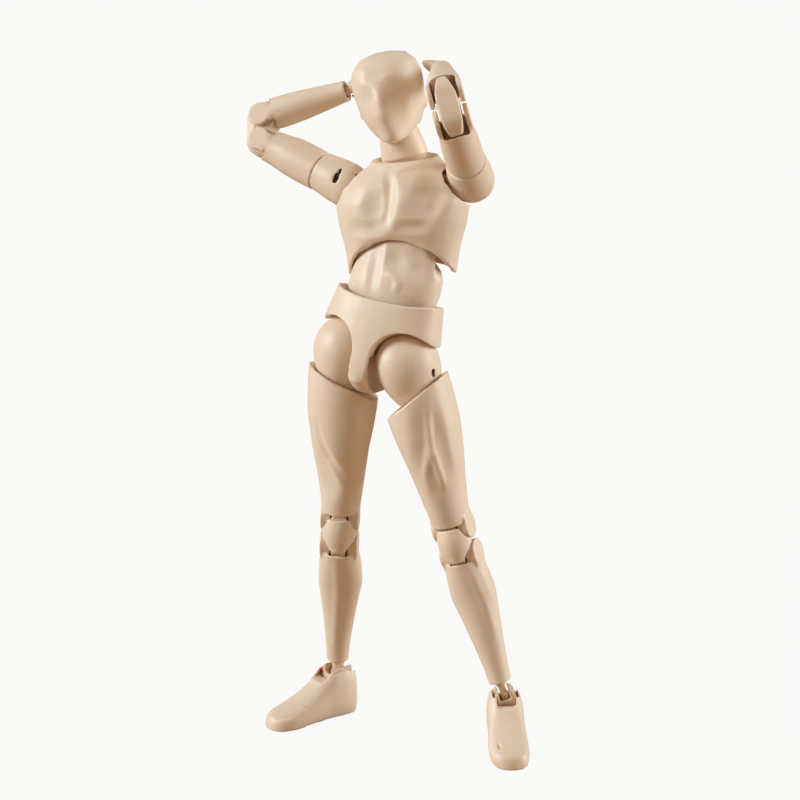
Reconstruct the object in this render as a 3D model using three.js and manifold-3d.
// A jointed drawing figure of a man, about 150 mm tall, standing with both hands behind the head.
// Millimetres, +Z up, the figure faces -Y. Every moving piece hangs in a group that turns about
// one hinge axis, so each group's rotation is the angle that the joint has in this pose.
import * as THREE from 'three';
import { mergeVertices } from 'three/addons/utils/BufferGeometryUtils.js';
import Module from 'manifold-3d';

const wasm = await Module();
wasm.setup();

// Running clearance between moving pieces, and the gap on a parting line
const GAP = 0.35;
const PARTING_GAP = 0.3;

// Skeleton lengths, from joint to joint
const HIP_SPACING = 13.2;
const THIGH_LENGTH = 35.0;
const KNEE_LINK = 6.0;
const SHIN_LENGTH = 32.0;
const ANKLE_HEIGHT = 9.2;
const WAIST_HEIGHT = 10.0;
const WAIST_DEPTH = 0.5;
const ABDOMEN_LENGTH = 9.0;
const CHEST_LINK = 5.0;
const BELLY_HALF_WIDTH = 9.9;
const BELLY_FRONT = 5.9;
const APRON_WALL = 1.3;
const APRON_BACK = 2.4;
const APRON_ROOM = 0.75;
const APRON_TOP_ROOM = 2.1;
const NECK_BASE_HEIGHT = 14.0;
const NECK_BASE_DEPTH = 1.8;
const NECK_LINK = 3.6;
const NECK_LENGTH = 7.4;
const SHOULDER_HINGE_SPACING = 12.4;
const SHOULDER_HEIGHT = 12.2;
const SHOULDER_DEPTH = 1.7;
const SHOULDER_STUB = 7.6;
const UPPER_ARM_LENGTH = 21.7;
const ELBOW_LINK = 5.2;
const FOREARM_LENGTH = 20.7;

// Joint pieces: radii of balls, drums, eyes, pegs and bars, and widths of tongues
const HIP_CAP_RADIUS = 7.1;
const HIP_CAP_INNER = 5.4;
const HIP_SWEEP_RADIUS = 8.6;
const HIP_CAP_DROP = 9.6;
const HIP_WEB_HALF = 0.3;
const HIP_BALL_RADIUS = 3.2;
const HIP_BAR_RADIUS = 1.4;
const HIP_PEG_RADIUS = 1.7;
const HIP_PEG_END = 14.5;
const RIM_SIDE_RISE = 0.7;
const LEG_OPENING_RADIUS = 6.3;
const LEG_OPENING_OUTWARD = 1.6;
const LEG_OPENING_DROP = -0.3;
const KNEE_CHEEK_RADIUS = 2.8;
const KNEE_TONGUE_RADIUS = 3.2;
const KNEE_TONGUE_HALF = 1.5;
const KNEE_HALF_WIDTH = 3.9;
const KNEE_BODY_GAP = 1.0;
const ELBOW_CHEEK_RADIUS = 2.4;
const ELBOW_TONGUE_RADIUS = 3.4;
const ELBOW_TONGUE_HALF = 2.2;
const ELBOW_HALF_WIDTH = 3.5;
const ELBOW_BODY_GAP = 1.2;
const SHOULDER_BALL_RADIUS = 2.8;
const SHOULDER_STUB_RADIUS = 1.25;
const SHOULDER_DRUM_RADIUS = 2.1;
const SHOULDER_DRUM_HALF = 2.2;
const DELTOID_RADIUS = 4.8;
const DELTOID_LENGTH = 6.5;
const ARM_PEG_RADIUS = 1.6;
const ARM_PEG_LENGTH = 3.0;
const WRIST_PEG_RADIUS = 1.05;
const WRIST_EYE_RADIUS = 1.3;
const WRIST_TONGUE_HALF = 0.75;
const ANKLE_PEG_RADIUS = 1.2;
const ANKLE_EYE_RADIUS = 1.4;
const ANKLE_TONGUE_HALF = 0.75;
const ANKLE_DRUM_RADIUS = 2.3;
const ANKLE_DRUM_HALF = 2.5;
const TORSO_EYE_RADIUS = 1.9;
const TORSO_TONGUE_HALF = 1.2;
const TORSO_DRUM_RADIUS = 2.1;
const TORSO_DRUM_HALF = 2.6;
const NECK_EYE_RADIUS = 1.5;
const NECK_TONGUE_HALF = 1.0;
const NECK_DRUM_RADIUS = 1.6;
const NECK_DRUM_HALF = 2.0;
const FOOT_TOE = 17.2;

// Turn of the pelvis against the floor, in degrees about x, y and z
const PELVIS_TURN = [-11.62, 7.9, -27.57];

// Joint angles of this pose, in degrees; the two entries are the figure's right and left side
const POSE = {
  waistTurn: 1.57, waistBend: -11.67, chestBend: 8.8, chestLean: -14.53,
  neckBend: 14.65, neckLean: -9.66, headNod: -3.6, headTurn: 9.79,
  hipSwing: [8.48, 18.27], hipSpread: [-6.3, -22.85], thighTurn: [22.68, 9.16],
  kneeUpper: [7.95, 0.4], kneeLower: [7.99, 0.4],
  ankleTurn: [-51.2, 23.67],
  shoulderForward: [-14, 4.95], shoulderSwing: [16.84, -116.4], armRaise: [118.13, -2.97],
  armTurn: [-118.65, -18.75], elbowUpper: [-60.29, -69.56], elbowLower: [-77.5, -60.27],
  wristTurn: [-120, 135], wristBend: [-30, 15],
};

// Mesh resolution
const SIDES_LARGE = 28;
const SIDES_SMALL = 12;

const SKIN = 0xe9cda9;
const INNER = 0xd39a68;

// Turns a three.js geometry into a closed solid that can be cut and joined
function solid(geometry) {
  const bare = geometry.clone();
  bare.deleteAttribute('normal');
  bare.deleteAttribute('uv');
  const merged = mergeVertices(bare, 1e-4);
  const vertProperties = new Float32Array(merged.attributes.position.array);
  const triVerts = new Uint32Array(merged.index.array);
  return new wasm.Manifold(new wasm.Mesh({ numProp: 3, vertProperties, triVerts }));
}

function join(first, ...others) {
  return others.reduce((whole, next) => whole.add(next), first);
}

function cut(first, ...others) {
  return others.reduce((whole, next) => whole.subtract(next), first);
}

// A body of stacked oval rings: each ring is [z, half width, front depth, back depth, x, y, power]
function limb(rings, sides = SIDES_LARGE, shape = null) {
  const tube = new THREE.CylinderGeometry(1, 1, 1, sides, rings.length - 1);
  const place = tube.attributes.position;
  for (let i = 0; i < place.count; i += 1) {
    const level = Math.round((0.5 - place.getY(i)) * (rings.length - 1));
    const [z, width, front, back, x = 0, y = 0, power = 2] = rings[level];
    const across = place.getX(i);
    const ahead = place.getZ(i);
    const reach = Math.hypot(across, ahead);
    const bulge = (part) => (reach < 0.5 ? 0 : Math.sign(part) * Math.abs(part / reach) ** (2 / power));
    const depth = ahead > 0 ? front : back;
    const point = new THREE.Vector3(x + width * bulge(across), y - depth * bulge(ahead), z);
    if (shape) shape(point, across, ahead, level);
    place.setXYZ(i, point.x, point.y, point.z);
  }
  return solid(tube);
}

function ball(radius, x = 0, y = 0, z = 0, sides = 16) {
  const sphere = new THREE.SphereGeometry(radius, sides, Math.round(sides * 0.5));
  sphere.rotateX(Math.PI / 2);
  return solid(sphere.translate(x, y, z));
}

function block(x0, x1, y0, y1, z0, z1) {
  const box = new THREE.BoxGeometry(x1 - x0, y1 - y0, z1 - z0);
  return solid(box.translate((x0 + x1) / 2, (y0 + y1) / 2, (z0 + z1) / 2));
}

// A round bar along one axis, from start to end on it, through the point given by x, y, z
function bar(axis, radius, start, end, x = 0, y = 0, z = 0, sides = SIDES_SMALL) {
  const rod = new THREE.CylinderGeometry(radius, radius, end - start, sides);
  const middle = (start + end) / 2;
  if (axis === 'x') rod.rotateZ(Math.PI / 2).translate(middle + x, y, z);
  if (axis === 'y') rod.translate(x, middle + y, z);
  if (axis === 'z') rod.rotateX(Math.PI / 2).translate(x, y, middle + z);
  return solid(rod);
}

// A block turned about the x axis, used to trim a sloping face
function wedge(x0, x1, y0, y1, z0, z1, degrees, pivotY, pivotZ) {
  const box = new THREE.BoxGeometry(x1 - x0, y1 - y0, z1 - z0);
  box.translate((x0 + x1) / 2, (y0 + y1) / 2, (z0 + z1) / 2);
  box.rotateX(THREE.MathUtils.degToRad(degrees));
  return solid(box.translate(0, pivotY, pivotZ));
}

function mesh(name, shape, color, roughness = 0.62) {
  const data = shape.getMesh();
  const geometry = new THREE.BufferGeometry();
  geometry.setAttribute('position', new THREE.BufferAttribute(data.vertProperties, 3));
  geometry.setIndex(new THREE.BufferAttribute(data.triVerts, 1));
  geometry.computeVertexNormals();
  const material = new THREE.MeshStandardMaterial({ color, roughness, metalness: 0 });
  const node = new THREE.Mesh(geometry, material);
  node.name = name;
  return node;
}

// A group that turns about one axis of its parent, at a place in the parent's frame
function hinge(name, parent, place, axis, degrees, ...nodes) {
  const group = new THREE.Group();
  group.name = name;
  group.position.set(...place);
  group.rotation[axis] = THREE.MathUtils.degToRad(degrees);
  nodes.forEach((node) => group.add(node));
  parent.add(group);
  return group;
}

const hipX = HIP_SPACING / 2;
const shoulderHingeX = SHOULDER_HINGE_SPACING / 2;

function pelvisSolid() {
  const shell = limb([
    [12.0, 11.4, 6.4, 7.2, 0, 0.3, 2.3],
    [9.3, 11.9, 6.9, 7.4, 0, 0.2, 2.3],
    [6.5, 12.5, 7.5, 7.6, 0, 0, 2.3],
    [3.5, 12.8, 7.9, 8.1, 0, 0, 2.2],
    [0.5, 11.8, 8.1, 8.6, 0, 0, 2.1],
    [-2.5, 7.6, 8.1, 8.6, 0, 0, 2.0],
    [-5.0, 3.8, 7.7, 7.4, 0, 0, 2.0],
    [-6.4, 2.5, 6.0, 5.2, 0, 0, 2.0],
    [-7.2, 1.4, 3.6, 3.0, 0, -0.6, 2.0],
  ], 30, (point, across, ahead, level) => {
    const flare = [RIM_SIDE_RISE, RIM_SIDE_RISE * 0.6, 0, 0, 0, 0, 0, 0, 0][level];
    point.z += flare * across * across - flare * 0.7 * Math.max(0, ahead) ** 2;
  });
  const openingX = hipX + LEG_OPENING_OUTWARD;
  const inner = openingX - LEG_OPENING_RADIUS;
  const web = block(-HIP_WEB_HALF, HIP_WEB_HALF, -12, 12, -12, 12);
  const legs = [-1, 1].flatMap((side) => [
    cut(ball(HIP_CAP_RADIUS + GAP + 0.05, side * hipX, 0, 0, 24), web),
    cut(ball(HIP_SWEEP_RADIUS, side * hipX, 0, 0, 24).intersect(block(-16, 16, -12, 12, -16, 0.5)), web),
    bar('y', LEG_OPENING_RADIUS, -12, 12, side * openingX, 0, -LEG_OPENING_DROP, 28),
    block(side > 0 ? inner : -16, side > 0 ? 16 : -inner, -12, 12, -16, -LEG_OPENING_DROP),
  ]);
  const floor = WAIST_HEIGHT - 2.5;
  const pocket = limb([
    [15.0, 10.5, 5.6, 6.5, 0, 0.3, 2.3],
    [10.0, 10.8, 5.9, 6.6, 0, 0.2, 2.3],
    [floor, 10.2, 5.7, 6.0, 0, 0, 2.3],
  ], 24);
  const pegHole = bar('z', TORSO_EYE_RADIUS + GAP, floor - 2.5, floor + 1, 0, WAIST_DEPTH, 0);
  const hipBar = bar('x', HIP_BAR_RADIUS, -hipX - 0.7, hipX + 0.7);
  return join(cut(shell, ...legs, pocket, pegHole), hipBar);
}

function waistBaseSolid() {
  return join(
    bar('x', TORSO_EYE_RADIUS, -TORSO_TONGUE_HALF, TORSO_TONGUE_HALF),
    block(-TORSO_TONGUE_HALF, TORSO_TONGUE_HALF, -1.4, 1.4, -3.2, 0),
    bar('z', TORSO_EYE_RADIUS, -4.5, -2.55),
  );
}

// The belly's front above the lean axis, grown outwards by a margin on every side
function bellyFront(margin) {
  const top = ABDOMEN_LENGTH;
  const rise = margin > 0 ? APRON_TOP_ROOM : 0;
  return limb([
    [top + 6.2 + rise, 6.6 + margin, 5.3 + margin, 4],
    [top + 4.6 + rise, 7.9 + margin, 5.7 + margin, 4],
    [top + 2.0, 9.0 + margin, 5.9 + margin, 4],
    [top - 1.0, BELLY_HALF_WIDTH - 0.25 + margin, 5.65 + margin, 4],
    [top - 3.5 - rise, BELLY_HALF_WIDTH - 0.05 + margin, BELLY_FRONT - 0.05 + margin, 4],
  ], 28);
}

function abdomenSolid() {
  const top = ABDOMEN_LENGTH;
  const body = limb([
    [top + 2.2, 7.0, 3.6, 3.4, 0, 0.2],
    [top + 1.0, 8.6, 4.9, 4.5, 0, 0.1],
    [top - 1.0, BELLY_HALF_WIDTH - 0.2, 5.7, 4.8],
    [top - 4.0, BELLY_HALF_WIDTH, BELLY_FRONT, 5.0],
    [2.6, BELLY_HALF_WIDTH - 0.1, 5.6, 4.2],
    [0.9, 9.1, 4.8, 3.7],
    [-0.3, 7.8, 3.8, 3.2],
  ], 28);
  // the front of the belly runs up behind the arch of the ribs
  const apron = cut(bellyFront(0), bellyFront(-APRON_WALL), block(-14, 14, -APRON_BACK, 14, -2, 30));
  const barrel = bar('x', 2.35, -5.5, 5.5);
  const lowerSlot = join(
    bar('x', TORSO_EYE_RADIUS + GAP, -TORSO_TONGUE_HALF - GAP, TORSO_TONGUE_HALF + GAP),
    block(-TORSO_TONGUE_HALF - GAP, TORSO_TONGUE_HALF + GAP, -3.0, 3.0, -4, 0),
  );
  const upperSlot = join(
    bar('y', TORSO_DRUM_RADIUS + GAP, -TORSO_DRUM_HALF - GAP, TORSO_DRUM_HALF + GAP, 0, 0, top),
    block(-2.5, 2.5, -1.8, 1.8, top, top + 5),
  );
  return cut(join(body, barrel, apron), lowerSlot, upperSlot);
}

// The chest's link lies in the belly with a drum along y and in the chest with an eye along x
function chestLinkSolid() {
  const flat = TORSO_EYE_RADIUS * 0.7;
  return join(
    bar('y', TORSO_DRUM_RADIUS, -TORSO_DRUM_HALF, TORSO_DRUM_HALF),
    block(-TORSO_TONGUE_HALF, TORSO_TONGUE_HALF, -flat, flat, 0, CHEST_LINK),
    bar('x', TORSO_EYE_RADIUS, -TORSO_TONGUE_HALF, TORSO_TONGUE_HALF, 0, 0, CHEST_LINK),
  );
}

function linkSolid(eyeRadius, tongueHalf, drumRadius, drumHalf, length) {
  return join(
    bar('x', eyeRadius, -tongueHalf, tongueHalf),
    block(-tongueHalf, tongueHalf, -eyeRadius * 0.7, eyeRadius * 0.7, 0, length),
    bar('y', drumRadius, -drumHalf, drumHalf, 0, 0, length),
  );
}

// Rings of the rib cage are measured from the bend axis, which lies CHEST_LINK above the lean axis
function chestSolid() {
  const base = -CHEST_LINK;
  const shell = limb([
    [base + 22.0, 6.8, 6.2, 6.0, 0, 1.4],
    [base + 20.6, 8.0, 6.7, 6.6, 0, 1.2],
    [base + 18.6, 10.6, 7.3, 7.3, 0, 0.6],
    [base + 15.8, 13.2, 8.1, 7.9, 0, 0.2],
    [base + 12.2, 14.1, 8.9, 8.0],
    [base + 8.4, 13.5, 8.8, 7.6],
    [base + 4.6, 12.4, 8.3, 7.1],
    [base + 1.4, 11.8, 7.7, 6.8],
    [base - 1.6, 11.4, 7.3, 6.5],
  ], 30, (point, across, ahead, level) => {
    const rise = [0, 0, 0, 0, 0, 0.8, 2.4, 4.6, 7.0][level];
    const collarTilt = [1.9, 1.8, 1.1, 0.2, 0, 0, 0, 0, 0][level];
    point.z += rise * Math.max(0, ahead) ** 1.4 + rise * 0.45 * Math.max(0, -ahead) ** 1.4;
    point.z -= collarTilt * ahead;
  });
  const hollow = limb([
    [base + 4.7, 9.4, 5.6, 5.2],
    [base + 2.4, 10.7, 6.8, 6.0],
    [base - 3.5, 10.8, 6.9, 6.1],
  ], 24);
  const apronRoom = bellyFront(APRON_ROOM).translate(0, 0, base - ABDOMEN_LENGTH);
  const apronSpace = cut(apronRoom, block(-14, 14, 1 - APRON_BACK, 14, -20, 30));
  const tongueHalf = TORSO_TONGUE_HALF + GAP;
  const eyeSpace = bar('x', TORSO_EYE_RADIUS + GAP, -tongueHalf, tongueHalf);
  const stemSpace = block(-tongueHalf, tongueHalf, -2.6, 2.6, base + 2, 0);
  const neckY = NECK_BASE_DEPTH;
  const neckZ = NECK_BASE_HEIGHT;
  const collar = limb([
    [neckZ + 6, 6.2, 5.8, 5.8, 0, neckY],
    [neckZ + 2.4, 5.8, 5.3, 5.2, 0, neckY],
    [neckZ + 0.9, 5.2, 4.6, 4.7, 0, neckY],
  ], 16);
  const neckSlot = join(
    bar('x', NECK_EYE_RADIUS + GAP, -NECK_TONGUE_HALF - GAP, NECK_TONGUE_HALF + GAP, 0, neckY, neckZ),
    block(-NECK_TONGUE_HALF - GAP, NECK_TONGUE_HALF + GAP, neckY - 2.6, neckY + 2.6, neckZ, neckZ + 3),
  );
  let body = cut(shell, hollow, apronSpace, eyeSpace, stemSpace, collar, neckSlot);
  for (const side of [-1, 1]) {
    const x = side * shoulderHingeX;
    const y = SHOULDER_DEPTH;
    const z = SHOULDER_HEIGHT;
    const reach = DELTOID_RADIUS + GAP + 0.05;
    for (const turn of [-13, 13]) {
      const angle = THREE.MathUtils.degToRad(turn);
      const ballX = x + side * SHOULDER_STUB * Math.cos(angle);
      body = cut(body, ball(reach, ballX, y + SHOULDER_STUB * Math.sin(angle), z, 14));
    }
    body = cut(
      body,
      ball(reach, x + side * SHOULDER_STUB, y, z, 14),
      bar('z', SHOULDER_DRUM_RADIUS + GAP, -SHOULDER_DRUM_HALF - GAP, SHOULDER_DRUM_HALF + GAP, x, y, z),
      block(Math.min(x, x + side * 6), Math.max(x, x + side * 6), y - 2.3, y + 2.3, z - 1.7, z + 1.7),
    );
  }
  return body;
}

function neckSolid() {
  const body = limb([
    [NECK_LENGTH + 1.9, 2.4, 2.2, 2.4],
    [NECK_LENGTH + 0.6, 3.5, 3.3, 3.5],
    [NECK_LENGTH - 2.0, 3.9, 3.8, 4.1],
    [1.8, 4.7, 4.0, 4.3],
    [-0.3, 4.9, 3.8, 4.2],
    [-1.4, 4.0, 2.8, 3.4],
  ], 22);
  const drumSpace = bar('y', NECK_DRUM_RADIUS + GAP, -NECK_DRUM_HALF - GAP, NECK_DRUM_HALF + GAP);
  const stemSpace = block(-2.2, 2.2, -1.7, 1.7, -4, 0);
  const eyeSpace = join(
    bar('x', NECK_EYE_RADIUS + GAP, -NECK_TONGUE_HALF - GAP, NECK_TONGUE_HALF + GAP, 0, 0, NECK_LENGTH),
    block(-NECK_TONGUE_HALF - GAP, NECK_TONGUE_HALF + GAP, -5, 5, NECK_LENGTH, NECK_LENGTH + 3),
  );
  return cut(body, drumSpace, stemSpace, eyeSpace);
}

function headJointSolid() {
  return join(
    bar('x', NECK_EYE_RADIUS, -NECK_TONGUE_HALF, NECK_TONGUE_HALF),
    block(-NECK_TONGUE_HALF, NECK_TONGUE_HALF, -1.0, 1.0, 0, 3.2),
    bar('z', 1.5, 2.9, 7.0),
  );
}

function headSolid() {
  const skull = limb([
    [13.7, 1.6, 1.8, 2.2, 0, 0.6],
    [12.9, 4.8, 5.0, 5.8, 0, 0.4],
    [10.9, 6.6, 7.1, 8.3],
    [8.4, 7.2, 8.3, 9.4],
    [6.0, 7.1, 8.6, 9.8],
    [3.6, 6.8, 8.8, 9.2],
    [1.2, 6.2, 8.8, 7.4],
    [-1.0, 5.3, 8.5, 4.2],
    [-2.8, 4.0, 7.9, 0.0, 0, -0.4],
    [-4.0, 2.2, 3.0, 2.2, 0, -5.2],
    [-4.5, 1.1, 1.6, 1.2, 0, -5.6],
  ], SIDES_LARGE, (point, across, ahead, level) => {
    const nose = [0, 0, 0, 0, 0.2, 0.6, 1.0, 0.5, 0.2, 0, 0][level];
    point.y -= nose * Math.max(0, ahead) ** 8;
  });
  const ears = [-1, 1].map((side) => ball(1.9, side * 5.4, 0.6, 2.4, 10));
  const neckSpace = join(
    ball(4.9, 0, 0, 0, 14),
    bar('z', 4.6, -12, 0, 0, 0, 0, 14),
    solid(new THREE.CylinderGeometry(4.6, 4.6, 12, 14).rotateX(Math.PI / 2).translate(0, 0, -6)
      .rotateX(THREE.MathUtils.degToRad(22))),
  );
  const pegSpace = bar('z', 1.5 + GAP, 0, 7.0 + GAP);
  return cut(join(skull, ...ears), neckSpace, pegSpace);
}

const HEAD_SPLIT = 1.5;

function headHalf(front) {
  const whole = headSolid();
  const edge = PARTING_GAP / 2;
  const keep = front ? block(-12, 12, -14, HEAD_SPLIT - edge, -12, 20) : block(-12, 12, HEAD_SPLIT + edge, 16, -12, 20);
  return whole.intersect(keep);
}

function shoulderHingeSolid(side) {
  const stubEnd = SHOULDER_STUB + 0.8;
  return join(
    bar('z', SHOULDER_DRUM_RADIUS, -SHOULDER_DRUM_HALF, SHOULDER_DRUM_HALF),
    bar('x', SHOULDER_STUB_RADIUS, side > 0 ? 0 : -stubEnd, side > 0 ? stubEnd : 0),
  );
}

function shoulderBallSolid(side) {
  const boreEnd = 0.8 + GAP;
  const bore = bar('x', SHOULDER_STUB_RADIUS + GAP, side > 0 ? -4 : -boreEnd, side > 0 ? boreEnd : 4);
  return cut(ball(SHOULDER_BALL_RADIUS, 0, 0, 0, 12), bore);
}

function deltoidSolid(side) {
  const skirt = limb([
    [1.0, 4.4, 4.4, 4.4],
    [-2.0, 4.7, 4.7, 4.8],
    [-DELTOID_LENGTH, 4.1, 4.2, 4.3],
  ], 20);
  const slotHalf = SHOULDER_STUB_RADIUS + GAP + 0.1;
  const inward = (near, far) => (side > 0 ? [-far, -near] : [near, far]);
  const slot = join(
    block(...inward(-slotHalf - 2.0, 7), -slotHalf, slotHalf, 0, 7),
    block(...inward(0, 7), -slotHalf, slotHalf, -slotHalf, 1),
  );
  const cavity = ball(SHOULDER_BALL_RADIUS + GAP + 0.1, 0, 0, 0, 12);
  const pegHole = bar('z', ARM_PEG_RADIUS + GAP, -DELTOID_LENGTH - 1, -DELTOID_LENGTH + ARM_PEG_LENGTH - 1 + GAP);
  return cut(join(ball(DELTOID_RADIUS, 0, 0, 0, 20), skirt), cavity, slot, pegHole);
}

function upperArmSolid() {
  const end = -UPPER_ARM_LENGTH;
  const top = -DELTOID_LENGTH - GAP;
  const body = limb([
    [top, 4.0, 4.1, 4.2],
    [top - 3.2, 4.0, 4.3, 4.3],
    [top - 7.0, 3.9, 4.2, 4.2],
    [end + 4.2, 3.6, 3.6, 3.8],
    [end + ELBOW_BODY_GAP, ELBOW_HALF_WIDTH, 3.2, 3.6],
  ], 22);
  const cheeks = bar('x', ELBOW_CHEEK_RADIUS, -ELBOW_HALF_WIDTH, ELBOW_HALF_WIDTH, 0, 0, end, 16);
  const bridge = block(-ELBOW_HALF_WIDTH + 0.1, ELBOW_HALF_WIDTH - 0.1, -1.9, 2.1, end, end + 2.5);
  const half = ELBOW_TONGUE_HALF + GAP;
  const tongueSpace = join(
    bar('x', ELBOW_TONGUE_RADIUS + GAP, -half, half, 0, 0, end, 16),
    block(-half, half, -6, 6, end - 5, end),
  );
  const foldTrim = wedge(-8, 8, -9, 0, -8, 0, -42, -1.6, end + ELBOW_BODY_GAP);
  const peg = bar('z', ARM_PEG_RADIUS, top - 1, -DELTOID_LENGTH + ARM_PEG_LENGTH - 1);
  return join(cut(join(cut(body, foldTrim), cheeks, bridge), tongueSpace), peg);
}

function elbowJointSolid() {
  const half = ELBOW_TONGUE_HALF;
  const radius = ELBOW_TONGUE_RADIUS;
  const tongue = join(
    bar('x', radius, -half, half, 0, 0, 0, 16),
    bar('x', radius, -half, half, 0, 0, -ELBOW_LINK, 16),
    block(-half, half, -1.6, radius - 0.05, -ELBOW_LINK, 0),
  );
  const outline = limb([
    [radius + 0.1, half * 0.45, 6, 6],
    [radius - 1.1, half * 0.8, 7, 7],
    [0.6, half, 8, 8],
    [-ELBOW_LINK + 0.6, half, 8, 8],
    [-ELBOW_LINK - radius + 1.3, half * 0.6, 7, 7],
    [-ELBOW_LINK - radius - 0.1, half * 0.2, 6, 6],
  ], 24);
  const cheekSpace = ELBOW_CHEEK_RADIUS + GAP;
  const sides = cut(
    limb([
      [-ELBOW_LINK * 0.25, ELBOW_HALF_WIDTH - 0.1, 1.4, 2.4],
      [-ELBOW_LINK * 0.75, ELBOW_HALF_WIDTH - 0.1, 1.4, 2.4],
    ], 18),
    bar('x', cheekSpace, -6, 6, 0, 0, 0, 16),
    bar('x', cheekSpace, -6, 6, 0, 0, -ELBOW_LINK, 16),
  );
  return join(tongue.intersect(outline), sides);
}

function forearmSolid() {
  const end = -FOREARM_LENGTH + 1.9;
  const body = limb([
    [-ELBOW_BODY_GAP, ELBOW_HALF_WIDTH, 3.0, 3.5],
    [-4.5, 3.6, 3.2, 3.5],
    [-9.0, 3.4, 3.0, 3.2],
    [-14.0, 2.8, 2.6, 2.7],
    [end, 2.3, 2.15, 2.2],
  ], 22);
  const cheeks = bar('x', ELBOW_CHEEK_RADIUS, -ELBOW_HALF_WIDTH, ELBOW_HALF_WIDTH, 0, 0, 0, 16);
  const bridge = block(-ELBOW_HALF_WIDTH + 0.1, ELBOW_HALF_WIDTH - 0.1, -1.9, 2.1, -2.5, 0);
  const half = ELBOW_TONGUE_HALF + GAP;
  const tongueSpace = join(
    bar('x', ELBOW_TONGUE_RADIUS + GAP, -half, half, 0, 0, 0, 16),
    block(-half, half, -6, 6, 0, 5),
  );
  const foldTrim = wedge(-8, 8, -9, 0, 0, 8, 42, -1.6, -ELBOW_BODY_GAP);
  const pegHole = bar('z', WRIST_PEG_RADIUS + GAP, end - 1, end + 3.2);
  return cut(join(cut(body, foldTrim), cheeks, bridge), tongueSpace, pegHole);
}

function wristJointSolid() {
  return join(
    bar('x', WRIST_EYE_RADIUS, -WRIST_TONGUE_HALF, WRIST_TONGUE_HALF),
    block(-WRIST_TONGUE_HALF, WRIST_TONGUE_HALF, -0.9, 0.9, 0, 1.9),
    bar('z', WRIST_PEG_RADIUS, 1.6, 4.6),
  );
}

function handSolid(side) {
  const palm = limb([
    [1.2, 1.7, 1.1, 1.1],
    [-0.6, 2.3, 1.5, 1.5],
    [-3.4, 3.0, 1.5, 1.3],
    [-6.6, 3.2, 1.3, 1.2],
    [-9.6, 2.9, 1.1, 1.0, 0, -0.2],
    [-12.2, 2.3, 0.8, 0.8, 0, -0.6],
    [-13.0, 1.6, 0.5, 0.5, 0, -0.8],
  ], 12);
  const half = WRIST_TONGUE_HALF + GAP;
  const eyeSpace = join(
    bar('x', WRIST_EYE_RADIUS + GAP, -half, half),
    block(-half, half, -3, 3, 0, 3),
  );
  const fingerGaps = [-1.55, 0, 1.55].map((x) => block(x - 0.16, x + 0.16, -4, 4, -14, -7.2));
  const thumb = solid(new THREE.CapsuleGeometry(0.85, 4.0, 2, 8).rotateX(Math.PI / 2)
    .rotateY(THREE.MathUtils.degToRad(side * 28)).translate(-side * 3.3, -0.7, -4.6));
  return join(cut(palm, eyeSpace, ...fingerGaps), thumb);
}

function hipJointSolid(side) {
  const boreEnd = 0.7 + GAP;
  const bore = bar('x', HIP_BAR_RADIUS + GAP, side > 0 ? -4 : -boreEnd, side > 0 ? boreEnd : 4);
  return cut(ball(HIP_BALL_RADIUS, 0, 0, 0, 12), bore);
}

// The hip cap is round on top, drawn out downwards, and flatter towards the other leg
function hipEgg(margin, side) {
  const radius = HIP_CAP_RADIUS + margin;
  const egg = new THREE.SphereGeometry(radius, 24, 14).rotateX(Math.PI / 2);
  const place = egg.attributes.position;
  for (let i = 0; i < place.count; i += 1) {
    const round = Math.hypot(place.getY(i), place.getZ(i)) / radius;
    const power = 2.15 - 0.35 * Math.min(1, Math.max(0, -place.getZ(i) / 4));
    const full = Math.max(0, 1 - round ** power) ** (1 / power);
    if (place.getX(i) * side < 0) place.setX(i, -side * (HIP_CAP_INNER + margin) * full);
    if (place.getZ(i) < 0) place.setZ(i, (place.getZ(i) * (HIP_CAP_DROP + margin)) / radius);
  }
  return solid(egg);
}

function hipCapSolid(side) {
  const cap = hipEgg(0, side);
  const cavity = ball(HIP_BALL_RADIUS + GAP + 0.1, 0, 0, 0, 12);
  const slotHalf = HIP_BAR_RADIUS + GAP + 0.1;
  const near = side > 0 ? -8 : 0.6;
  const barSpace = block(near, near + 7.4, -slotHalf, slotHalf, -2.8, 5.4);
  const peg = bar('z', HIP_PEG_RADIUS, -HIP_PEG_END, -HIP_CAP_DROP + 0.8);
  return join(cut(cap, cavity, barSpace), peg);
}

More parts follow.
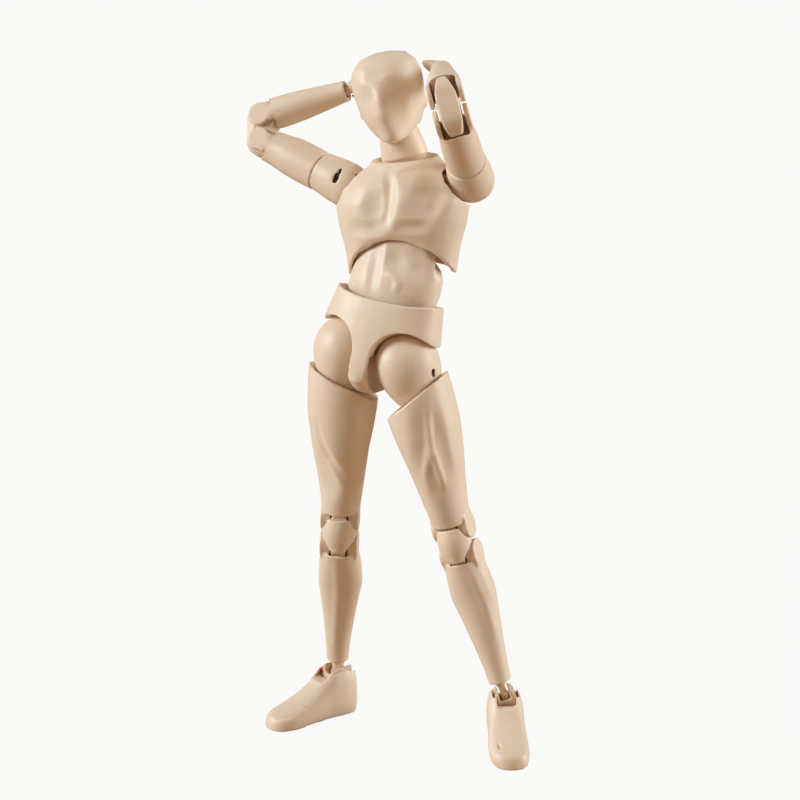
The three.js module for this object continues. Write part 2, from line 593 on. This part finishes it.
function thighSolid(side) {
  const end = -THIGH_LENGTH;
  const body = limb([
    [-6.5, 7.2, 7.2, 7.5, side * 0.6],
    [-9.5, 7.2, 7.6, 7.7, side * 0.7],
    [-14.0, 6.9, 7.6, 7.3, side * 0.8],
    [-20.0, 5.9, 7.0, 6.5, side * 0.6],
    [-26.0, 4.9, 6.0, 5.4, side * 0.2, 0.1],
    [-31.0, 4.2, 5.1, 4.8],
    [end + KNEE_BODY_GAP, KNEE_HALF_WIDTH, 4.3, 4.4],
  ], 26, (point, across, ahead, level) => {
    const tilt = [3.3, 2.2, 1.0, 0, 0, 0, 0][level];
    point.z += tilt * across * side;
  });
  const outer = hipEgg(GAP + 0.1, side);
  const cup = join(outer, outer.rotate([0, 0, 180]));
  const pegHole = bar('z', HIP_PEG_RADIUS + GAP, -HIP_PEG_END - GAP, -5);
  const cheeks = bar('x', KNEE_CHEEK_RADIUS, -KNEE_HALF_WIDTH, KNEE_HALF_WIDTH, 0, 0, end, 16);
  const bridge = block(-KNEE_HALF_WIDTH + 0.1, KNEE_HALF_WIDTH - 0.1, -2.3, 2.3, end, end + 2.4);
  const half = KNEE_TONGUE_HALF + GAP;
  const tongueSpace = join(
    bar('x', KNEE_TONGUE_RADIUS + GAP, -half, half, 0, 0, end, 16),
    block(-half, half, -7, 7, end - 5, end),
  );
  const foldTrim = wedge(-8, 8, 0, 9, -8, 0, 35, 1.8, end + KNEE_BODY_GAP);
  return cut(join(cut(body, foldTrim), cheeks, bridge), cup, pegHole, tongueSpace);
}

function kneeJointSolid() {
  const half = KNEE_TONGUE_HALF;
  const radius = KNEE_TONGUE_RADIUS;
  const tongue = join(
    bar('x', radius, -half, half, 0, 0, 0, 16),
    bar('x', radius, -half, half, 0, 0, -KNEE_LINK, 16),
    block(-half, half, -radius + 0.05, 1.6, -KNEE_LINK, 0),
  );
  const plate = limb([
    [KNEE_BODY_GAP - GAP - 0.1, 3.5, 3.9, 0.4, 0, -0.4],
    [-KNEE_LINK * 0.3, 3.9, 4.7, 1.9, 0, -0.4],
    [-KNEE_LINK * 0.7, 3.7, 4.6, 1.9, 0, -0.4],
    [-KNEE_LINK - KNEE_BODY_GAP + GAP + 0.1, 2.4, 3.9, 0.4, 0, -0.4],
  ], 24);
  const cheekSpace = KNEE_CHEEK_RADIUS + GAP;
  const trimmed = cut(
    plate,
    bar('x', cheekSpace, -6, 6, 0, 0, 0, 16),
    bar('x', cheekSpace, -6, 6, 0, 0, -KNEE_LINK, 16),
  );
  return join(tongue, trimmed);
}

function shinSolid(side) {
  const end = -SHIN_LENGTH + 3.6;
  const body = limb([
    [-KNEE_BODY_GAP, KNEE_HALF_WIDTH, 4.0, 4.0],
    [-4.5, 4.4, 3.7, 5.8, side * -0.2],
    [-9.0, 4.7, 3.1, 6.8, side * -0.3],
    [-14.0, 3.9, 2.8, 6.3, side * -0.2],
    [-20.0, 3.1, 2.5, 4.8, side * -0.1],
    [-25.0, 2.6, 2.4, 3.3],
    [end, 2.4, 2.4, 2.6],
  ], 24);
  const cheeks = bar('x', KNEE_CHEEK_RADIUS, -KNEE_HALF_WIDTH, KNEE_HALF_WIDTH, 0, 0, 0, 16);
  const bridge = block(-KNEE_HALF_WIDTH + 0.1, KNEE_HALF_WIDTH - 0.1, -2.3, 2.3, -2.4, 0);
  const half = KNEE_TONGUE_HALF + GAP;
  const tongueSpace = join(
    bar('x', KNEE_TONGUE_RADIUS + GAP, -half, half, 0, 0, 0, 16),
    block(-half, half, -7, 7, 0, 5),
  );
  const foldTrim = wedge(-8, 8, 0, 9, 0, 8, -35, 1.8, -KNEE_BODY_GAP);
  const pegHole = bar('z', ANKLE_PEG_RADIUS + GAP, end - 1, end + 5.4);
  return cut(join(cut(body, foldTrim), cheeks, bridge), tongueSpace, pegHole);
}

function anklePegSolid() {
  return join(
    bar('x', ANKLE_EYE_RADIUS, -ANKLE_TONGUE_HALF, ANKLE_TONGUE_HALF),
    block(-ANKLE_TONGUE_HALF, ANKLE_TONGUE_HALF, -1.0, 1.0, 0, 3.0),
    bar('z', ANKLE_PEG_RADIUS, 2.8, 8.2),
  );
}

function ankleDrumSolid() {
  const half = ANKLE_TONGUE_HALF + GAP;
  const slot = join(
    bar('x', ANKLE_EYE_RADIUS + GAP, -half, half),
    block(-half, half, -4, 4, 0, 4),
  );
  return cut(bar('y', ANKLE_DRUM_RADIUS, -ANKLE_DRUM_HALF, ANKLE_DRUM_HALF, 0, 0, 0, 18), slot);
}

// Rings of the shoe run along y: [y, half width, top, bottom, x, power]; the sole is kept flat
function shoe(rings, sole, sides = 16) {
  const tube = new THREE.CylinderGeometry(1, 1, 1, sides, rings.length - 1);
  const place = tube.attributes.position;
  for (let i = 0; i < place.count; i += 1) {
    const level = Math.round((0.5 - place.getY(i)) * (rings.length - 1));
    const [y, width, top, bottom, x = 0, power = 2.6] = rings[level];
    const reach = Math.hypot(place.getX(i), place.getZ(i));
    const bulge = (part) => (reach < 0.5 ? 0 : Math.sign(part) * Math.abs(part / reach) ** (2 / power));
    const middle = (top + bottom) / 2;
    const high = middle + ((top - bottom) / 2) * bulge(place.getZ(i));
    place.setXYZ(i, x + width * bulge(place.getX(i)), y, Math.max(high, sole));
  }
  return solid(tube);
}

function footSolid(side, sole) {
  const under = sole - 0.8;
  const body = shoe([
    [3.4, 2.3, -1.2, under + 1.6],
    [3.0, 3.2, 1.6, under],
    [2.0, 3.6, 2.1, under, 0, 2.8],
    [0.0, 3.8, 2.3, under, 0, 2.8],
    [-2.6, 3.8, 2.1, under, 0, 2.6],
    [-4.0, 3.8, 0.6, under, 0, 2.5],
    [-6.0, 3.9, -1.4, under, -side * 0.1],
    [-8.4, 4.1, -3.0, under, -side * 0.2],
    [-11.0, 4.2, -4.2, under, -side * 0.3],
    [-13.4, 4.1, -5.0, under, -side * 0.3],
    [-15.5, 3.5, -5.7, under, -side * 0.2],
    [-16.7, 2.3, -6.4, under],
    [-FOOT_TOE, 1.0, -7.4, under + 0.6],
  ], sole, 20);
  const drumRadius = ANKLE_DRUM_RADIUS + GAP;
  const drumEnd = ANKLE_DRUM_HALF + GAP;
  const socket = join(
    bar('y', drumRadius, -drumEnd, drumEnd, 0, 0, 0, 18),
    block(-drumRadius, drumRadius, -drumEnd, drumEnd, 0, 6),
    block(-2.0, 2.0, -9, 9, -0.9, 6),
  );
  return cut(body, socket);
}

// The pitch and roll of an ankle that lay the sole flat on the floor, for a given ankle_turn group
function flatFoot(turn) {
  turn.updateWorldMatrix(true, false);
  const up = new THREE.Vector3(0, 0, 1).transformDirection(turn.matrixWorld.clone().invert());
  const degrees = THREE.MathUtils.radToDeg;
  return { pitch: degrees(Math.atan2(-up.y, up.z)), roll: degrees(Math.asin(up.x)) };
}

function worldHeight(group) {
  group.updateWorldMatrix(true, false);
  return new THREE.Vector3().setFromMatrixPosition(group.matrixWorld).z;
}

function addLeg(pelvis, side, label, index) {
  const part = (name, shape, color = SKIN) => mesh(`${label}_${name}`, shape, color);
  const pose = (key) => POSE[key][index];
  const swing = hinge(`${label}_hip_swing`, pelvis, [side * hipX, 0, 0], 'x', pose('hipSwing'),
    part('hip_joint', hipJointSolid(side), INNER));
  const spread = hinge(`${label}_hip_spread`, swing, [0, 0, 0], 'y', pose('hipSpread'),
    part('hip_cap', hipCapSolid(side)));
  const thigh = hinge(`${label}_thigh_turn`, spread, [0, 0, 0], 'z', pose('thighTurn'),
    part('thigh', thighSolid(side)));
  const kneeUpper = hinge(`${label}_knee_upper`, thigh, [0, 0, -THIGH_LENGTH], 'x', pose('kneeUpper'),
    part('knee_joint', kneeJointSolid()));
  const kneeLower = hinge(`${label}_knee_lower`, kneeUpper, [0, 0, -KNEE_LINK], 'x', pose('kneeLower'),
    part('shin', shinSolid(side)));
  return hinge(`${label}_ankle_turn`, kneeLower, [0, 0, -SHIN_LENGTH], 'z', pose('ankleTurn'),
    part('ankle_peg', anklePegSolid(), INNER));
}

// The floor is the plane z = 0, so the sole's depth under the ankle is the ankle's own height
function addFoot(turn, side, label, index) {
  const part = (name, shape, color = SKIN) => mesh(`${label}_${name}`, shape, color);
  const pose = (key) => POSE[key][index];
  const flat = flatFoot(turn);
  const sole = -worldHeight(turn);
  const pitch = hinge(`${label}_ankle_pitch`, turn, [0, 0, 0], 'x', flat.pitch,
    part('ankle_drum', ankleDrumSolid(), INNER));
  const roll = hinge(`${label}_ankle_roll`, pitch, [0, 0, 0], 'y', flat.roll,
    part('foot', footSolid(side, sole)));
}

function addArm(chest, side, label, index) {
  const part = (name, shape, color = SKIN) => mesh(`${label}_${name}`, shape, color);
  const pose = (key) => POSE[key][index];
  const place = [side * shoulderHingeX, SHOULDER_DEPTH, SHOULDER_HEIGHT];
  const forward = hinge(`${label}_shoulder_forward`, chest, place, 'z', pose('shoulderForward'),
    part('shoulder_hinge', shoulderHingeSolid(side), INNER));
  const swing = hinge(`${label}_arm_swing`, forward, [side * SHOULDER_STUB, 0, 0], 'x', pose('shoulderSwing'),
    part('shoulder_ball', shoulderBallSolid(side), INNER));
  const raise = hinge(`${label}_arm_raise`, swing, [0, 0, 0], 'y', pose('armRaise'),
    part('deltoid', deltoidSolid(side)));
  const turn = hinge(`${label}_arm_turn`, raise, [0, 0, 0], 'z', pose('armTurn'),
    part('upper_arm', upperArmSolid()));
  const elbow = hinge(`${label}_elbow_upper`, turn, [0, 0, -UPPER_ARM_LENGTH], 'x', pose('elbowUpper'),
    part('elbow_joint', elbowJointSolid()));
  const forearm = hinge(`${label}_elbow_lower`, elbow, [0, 0, -ELBOW_LINK], 'x', pose('elbowLower'),
    part('forearm', forearmSolid()));
  const wrist = hinge(`${label}_wrist_turn`, forearm, [0, 0, -FOREARM_LENGTH], 'z', pose('wristTurn'),
    part('wrist_joint', wristJointSolid(), INNER));
  hinge(`${label}_wrist_bend`, wrist, [0, 0, 0], 'x', pose('wristBend'), part('hand', handSolid(side)));
}

const figure = new THREE.Group();
const pelvis = new THREE.Group();
pelvis.name = 'root';
pelvis.rotation.order = 'ZYX';
pelvis.rotation.set(...PELVIS_TURN.map(THREE.MathUtils.degToRad));
pelvis.add(mesh('pelvis', pelvisSolid(), SKIN));
figure.add(pelvis);

const waistTurn = hinge('waist_turn', pelvis, [0, WAIST_DEPTH, WAIST_HEIGHT], 'z', POSE.waistTurn,
  mesh('waist_base', waistBaseSolid(), INNER));
const waistBend = hinge('waist_bend', waistTurn, [0, 0, 0], 'x', POSE.waistBend,
  mesh('abdomen', abdomenSolid(), SKIN));
const chestLean = hinge('chest_lean', waistBend, [0, 0, ABDOMEN_LENGTH], 'y', POSE.chestLean,
  mesh('chest_joint', chestLinkSolid(), INNER));
const chest = hinge('chest_bend', chestLean, [0, 0, CHEST_LINK], 'x', POSE.chestBend,
  mesh('chest', chestSolid(), SKIN));
const neckBend = hinge('neck_bend', chest, [0, NECK_BASE_DEPTH, NECK_BASE_HEIGHT], 'x', POSE.neckBend,
  mesh('neck_joint', linkSolid(NECK_EYE_RADIUS, NECK_TONGUE_HALF, NECK_DRUM_RADIUS, NECK_DRUM_HALF, NECK_LINK), INNER));
const neck = hinge('neck_lean', neckBend, [0, 0, NECK_LINK], 'y', POSE.neckLean,
  mesh('neck', neckSolid(), SKIN));
const headNod = hinge('head_nod', neck, [0, 0, NECK_LENGTH], 'x', POSE.headNod,
  mesh('head_joint', headJointSolid(), INNER));
hinge('head_turn', headNod, [0, 0, 0], 'z', POSE.headTurn,
  mesh('head_front', headHalf(true), SKIN), mesh('head_back', headHalf(false), SKIN));

addArm(chest, -1, 'right', 0);
addArm(chest, 1, 'left', 1);

// The figure stands on its two feet, with the ankles at their height above the floor
const rightAnkle = addLeg(pelvis, -1, 'right', 0);
const leftAnkle = addLeg(pelvis, 1, 'left', 1);
pelvis.position.z = ANKLE_HEIGHT - (worldHeight(rightAnkle) + worldHeight(leftAnkle)) / 2;
addFoot(rightAnkle, -1, 'right', 0);
addFoot(leftAnkle, 1, 'left', 1);

// The origin is the middle of the figure's ground area
figure.updateMatrixWorld(true);
const middle = new THREE.Box3().setFromObject(figure, true).getCenter(new THREE.Vector3());
pelvis.position.x = -middle.x;
pelvis.position.y = -middle.y;

export default figure;
